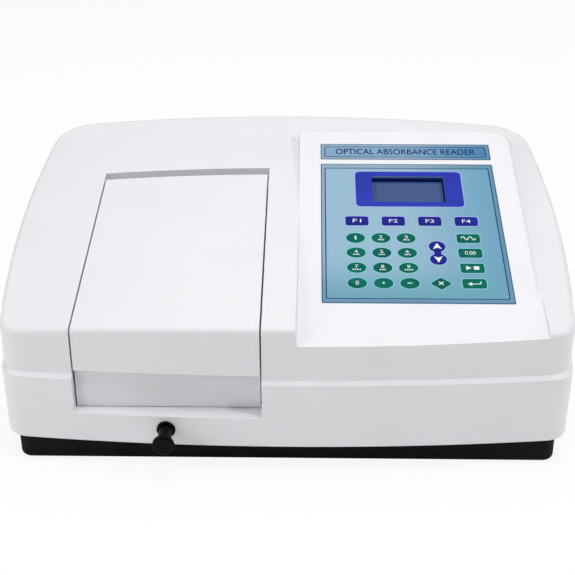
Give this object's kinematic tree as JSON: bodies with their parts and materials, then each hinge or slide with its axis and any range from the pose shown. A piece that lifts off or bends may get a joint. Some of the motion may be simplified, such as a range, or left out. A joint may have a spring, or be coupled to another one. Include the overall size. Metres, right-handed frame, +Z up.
{
  "type": "spectrophotometer",
  "caption": "Bench-top spectrophotometer: white cover with hinged sample lid, sloping keypad console with display, pull-rod cell changer, black base tray.",
  "frame": {"origin": "bottom centre of the instrument's box, where the feet stand", "axes": "+Z up, +X to the user's right along the width, +Y to the rear"},
  "size_m": [0.47, 0.354, 0.1801],
  "materials": {
    "cover_white": "satin moulded ABS",
    "base_black": "fine texture",
    "foot_rubber": "matt",
    "overlay_blue": "satin printed film",
    "key_green": "satin printed film",
    "key_blue": "satin printed film",
    "display_glass": "glossy",
    "knob_black": "satin",
    "polished_steel": "polished",
    "chamber_black": "matt black paint",
    "anodised_black": "black anodised",
    "foam_black": "closed-cell foam",
    "optical_glass": "polished",
    "cast_aluminium": "as cast",
    "brass": "machined",
    "zinc_sheet": "zinc plated",
    "panel_grey": "powder coated",
    "socket_black": "satin",
    "board_green": "solder mask"
  },
  "bodies": {
    "chassis": {"base_tray": "base_black", "carriage_rails": "polished_steel", "chamber_seal": "foam_black", "circuit_boards": "board_green", "cover_screws": "polished_steel", "data_ports": "zinc_sheet", "detector": "chamber_black", "display_module": "display_glass", "drive_motors": "zinc_sheet", "fan_frame": "socket_black", "front_panel": "cover_white", "hinge_pins": "polished_steel", "lamp_housing": "zinc_sheet", "lamps": "optical_glass", "mains_inlet": "socket_black", "membrane_overlay": "overlay_blue", "monochromator_case": "cast_aluminium", "optics": "optical_glass", "rear_panel": "panel_grey", "rod_bush": "knob_black", "rubber_feet": "foot_rubber", "sample_chamber": "chamber_black", "switch_frame": "socket_black", "title_label": "overlay_blue", "top_cover": "cover_white"},
    "lid": {"sample_lid": "cover_white", "lid_liner": "foam_black"},
    "cell_changer": {"cell_carriage": "anodised_black", "pull_rod": "polished_steel", "pull_knob": "knob_black"},
    "grating": {"grating_mount": "cast_aluminium"},
    "scan_pinion": {"scan_pinion": "brass"},
    "source_mirror": {"source_mirror": "polished_steel"},
    "filter_wheel": {"filter_wheel": "anodised_black"},
    "fuse_drawer": {"fuse_drawer": "socket_black"},
    "power_rocker": {"power_rocker": "socket_black"},
    "fan_rotor": {"fan_rotor": "socket_black"},
    "command_key_1": {"command_key_1": "key_green"},
    "command_key_2": {"command_key_2": "key_green"},
    "command_key_3": {"command_key_3": "key_green"},
    "command_key_4": {"command_key_4": "key_green"},
    "down_key": {"down_key": "key_blue"},
    "escape_key": {"escape_key": "key_green"},
    "function_key_1": {"function_key_1": "key_blue"},
    "function_key_2": {"function_key_2": "key_blue"},
    "function_key_3": {"function_key_3": "key_blue"},
    "function_key_4": {"function_key_4": "key_blue"},
    "key_0": {"key_0": "key_green"},
    "key_1": {"key_1": "key_green"},
    "key_2": {"key_2": "key_green"},
    "key_3": {"key_3": "key_green"},
    "key_4": {"key_4": "key_green"},
    "key_5": {"key_5": "key_green"},
    "key_6": {"key_6": "key_green"},
    "key_7": {"key_7": "key_green"},
    "key_8": {"key_8": "key_green"},
    "key_9": {"key_9": "key_green"},
    "key_minus": {"key_minus": "key_green"},
    "key_point": {"key_point": "key_green"},
    "up_key": {"up_key": "key_blue"}
  },
  "joints": [
    {"name": "lid_hinge", "type": "hinge", "parent": "chassis", "child": "lid", "pos_m": [0, 0.0658, 0.1485], "axis": [-1, 0, 0], "range_deg": [0, 88]},
    {"name": "cell_slide", "type": "slide", "parent": "chassis", "child": "cell_changer", "axis": [0, -1, 0], "range_m": [0, 0.06]},
    {"name": "grating_turn", "type": "hinge", "parent": "chassis", "child": "grating", "pos_m": [0.025, 0.02, 0.06], "axis": [0, 0, 1], "range_deg": [-20, 20]},
    {"name": "pinion_turn", "type": "hinge", "parent": "chassis", "child": "scan_pinion", "pos_m": [0.073, 0.02, 0.1], "axis": [0, 0, 1], "range_deg": [-105, 105]},
    {"name": "source_flip", "type": "hinge", "parent": "chassis", "child": "source_mirror", "pos_m": [-0.095, 0.095, 0.058], "axis": [0, 0, 1], "range_deg": [0, 45]},
    {"name": "filter_turn", "type": "hinge", "parent": "chassis", "child": "filter_wheel", "pos_m": [-0.036, 0.109, 0.058], "axis": [1, 0, 0], "continuous": true},
    {"name": "fuse_slide", "type": "slide", "parent": "chassis", "child": "fuse_drawer", "axis": [0, 1, 0], "range_m": [0, 0.02]},
    {"name": "power_tilt", "type": "hinge", "parent": "chassis", "child": "power_rocker", "pos_m": [-0.118, 0.172, 0.062], "axis": [1, 0, 0], "range_deg": [0, 12]},
    {"name": "fan_spin", "type": "hinge", "parent": "chassis", "child": "fan_rotor", "pos_m": [-0.052, 0.165, 0.065], "axis": [0, 1, 0], "continuous": true},
    {"name": "command_key_1_press", "type": "slide", "parent": "chassis", "child": "command_key_1", "axis": [0, 0.2302, -0.9731], "range_m": [0, 0.0005], "stiffness_N_per_m": 300},
    {"name": "command_key_2_press", "type": "slide", "parent": "chassis", "child": "command_key_2", "axis": [0, 0.2302, -0.9731], "range_m": [0, 0.0005], "stiffness_N_per_m": 300},
    {"name": "command_key_3_press", "type": "slide", "parent": "chassis", "child": "command_key_3", "axis": [0, 0.2302, -0.9731], "range_m": [0, 0.0005], "stiffness_N_per_m": 300},
    {"name": "command_key_4_press", "type": "slide", "parent": "chassis", "child": "command_key_4", "axis": [0, 0.2302, -0.9731], "range_m": [0, 0.0005], "stiffness_N_per_m": 300},
    {"name": "down_key_press", "type": "slide", "parent": "chassis", "child": "down_key", "axis": [0, 0.2302, -0.9731], "range_m": [0, 0.0005], "stiffness_N_per_m": 300},
    {"name": "escape_key_press", "type": "slide", "parent": "chassis", "child": "escape_key", "axis": [0, 0.2302, -0.9731], "range_m": [0, 0.0005], "stiffness_N_per_m": 300},
    {"name": "function_key_1_press", "type": "slide", "parent": "chassis", "child": "function_key_1", "axis": [0, 0.2302, -0.9731], "range_m": [0, 0.0005], "stiffness_N_per_m": 300},
    {"name": "function_key_2_press", "type": "slide", "parent": "chassis", "child": "function_key_2", "axis": [0, 0.2302, -0.9731], "range_m": [0, 0.0005], "stiffness_N_per_m": 300},
    {"name": "function_key_3_press", "type": "slide", "parent": "chassis", "child": "function_key_3", "axis": [0, 0.2302, -0.9731], "range_m": [0, 0.0005], "stiffness_N_per_m": 300},
    {"name": "function_key_4_press", "type": "slide", "parent": "chassis", "child": "function_key_4", "axis": [0, 0.2302, -0.9731], "range_m": [0, 0.0005], "stiffness_N_per_m": 300},
    {"name": "key_0_press", "type": "slide", "parent": "chassis", "child": "key_0", "axis": [0, 0.2302, -0.9731], "range_m": [0, 0.0005], "stiffness_N_per_m": 300},
    {"name": "key_1_press", "type": "slide", "parent": "chassis", "child": "key_1", "axis": [0, 0.2302, -0.9731], "range_m": [0, 0.0005], "stiffness_N_per_m": 300},
    {"name": "key_2_press", "type": "slide", "parent": "chassis", "child": "key_2", "axis": [0, 0.2302, -0.9731], "range_m": [0, 0.0005], "stiffness_N_per_m": 300},
    {"name": "key_3_press", "type": "slide", "parent": "chassis", "child": "key_3", "axis": [0, 0.2302, -0.9731], "range_m": [0, 0.0005], "stiffness_N_per_m": 300},
    {"name": "key_4_press", "type": "slide", "parent": "chassis", "child": "key_4", "axis": [0, 0.2302, -0.9731], "range_m": [0, 0.0005], "stiffness_N_per_m": 300},
    {"name": "key_5_press", "type": "slide", "parent": "chassis", "child": "key_5", "axis": [0, 0.2302, -0.9731], "range_m": [0, 0.0005], "stiffness_N_per_m": 300},
    {"name": "key_6_press", "type": "slide", "parent": "chassis", "child": "key_6", "axis": [0, 0.2302, -0.9731], "range_m": [0, 0.0005], "stiffness_N_per_m": 300},
    {"name": "key_7_press", "type": "slide", "parent": "chassis", "child": "key_7", "axis": [0, 0.2302, -0.9731], "range_m": [0, 0.0005], "stiffness_N_per_m": 300},
    {"name": "key_8_press", "type": "slide", "parent": "chassis", "child": "key_8", "axis": [0, 0.2302, -0.9731], "range_m": [0, 0.0005], "stiffness_N_per_m": 300},
    {"name": "key_9_press", "type": "slide", "parent": "chassis", "child": "key_9", "axis": [0, 0.2302, -0.9731], "range_m": [0, 0.0005], "stiffness_N_per_m": 300},
    {"name": "key_minus_press", "type": "slide", "parent": "chassis", "child": "key_minus", "axis": [0, 0.2302, -0.9731], "range_m": [0, 0.0005], "stiffness_N_per_m": 300},
    {"name": "key_point_press", "type": "slide", "parent": "chassis", "child": "key_point", "axis": [0, 0.2302, -0.9731], "range_m": [0, 0.0005], "stiffness_N_per_m": 300},
    {"name": "up_key_press", "type": "slide", "parent": "chassis", "child": "up_key", "axis": [0, 0.2302, -0.9731], "range_m": [0, 0.0005], "stiffness_N_per_m": 300}
  ],
  "couplings": [
    {"joint": "pinion_turn", "follows": "grating_turn", "ratio": -5}
  ]
}
